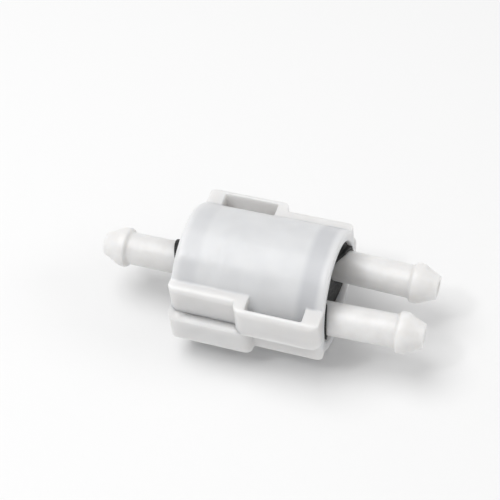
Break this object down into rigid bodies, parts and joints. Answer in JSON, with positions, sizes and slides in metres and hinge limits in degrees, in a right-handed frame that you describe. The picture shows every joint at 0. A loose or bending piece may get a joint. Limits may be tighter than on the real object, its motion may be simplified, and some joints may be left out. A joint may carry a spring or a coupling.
{
  "type": "fuel filter",
  "caption": "Small in-line fuel filter: snap-together half casings around a sealed barrel with a pleated element, rubber end seals, a barbed inlet stem and paired barbed outlet stems.",
  "frame": {"origin": "middle of the casing, on the main flow axis and on the joint plane between the half casings", "axes": "+X along the flow from the inlet to the outlets, +Z square to the joint plane towards the upper casing, +Y towards the plain outlet stem"},
  "size_m": [0.0653, 0.0284, 0.0234],
  "materials": {
    "casing_plastic": "satin moulded acetal, natural white",
    "stem_plastic": "satin moulded acetal, natural white",
    "barrel_plastic": "natural translucent",
    "seal_rubber": "matt moulded nitrile",
    "steel": "stamped stainless",
    "jet_brass": "turned",
    "paper": "resin-treated filter paper",
    "element_plastic": "moulded nylon"
  },
  "bodies": {
    "casing": {"upper_casing": "casing_plastic", "lower_casing": "casing_plastic", "barrel": "barrel_plastic", "inlet_seal": "seal_rubber", "outlet_seal": "seal_rubber", "inlet_washer": "steel", "outlet_washer": "steel", "return_washer": "steel", "filter_paper": "paper", "core_tube": "element_plastic", "closed_cap": "element_plastic", "open_cap": "element_plastic", "cap_o_ring": "seal_rubber"},
    "inlet": {"inlet_stem": "stem_plastic", "inlet_clip": "steel"},
    "outlet": {"outlet_stem": "stem_plastic", "outlet_clip": "steel"},
    "return": {"return_stem": "stem_plastic", "return_clip": "steel", "return_jet": "jet_brass"}
  },
  "joints": [
    {"name": "inlet_swivel", "type": "hinge", "parent": "casing", "child": "inlet", "pos_m": [-0.0127, 0, 0], "axis": [-1, 0, 0], "continuous": true},
    {"name": "outlet_swivel", "type": "hinge", "parent": "casing", "child": "outlet", "pos_m": [0.0127, 0.0064, 0], "axis": [0.9996, -0.0297, 0], "continuous": true},
    {"name": "return_swivel", "type": "hinge", "parent": "casing", "child": "return", "pos_m": [0.0127, -0.0064, 0], "axis": [0.9996, 0.0297, 0], "continuous": true}
  ]
}
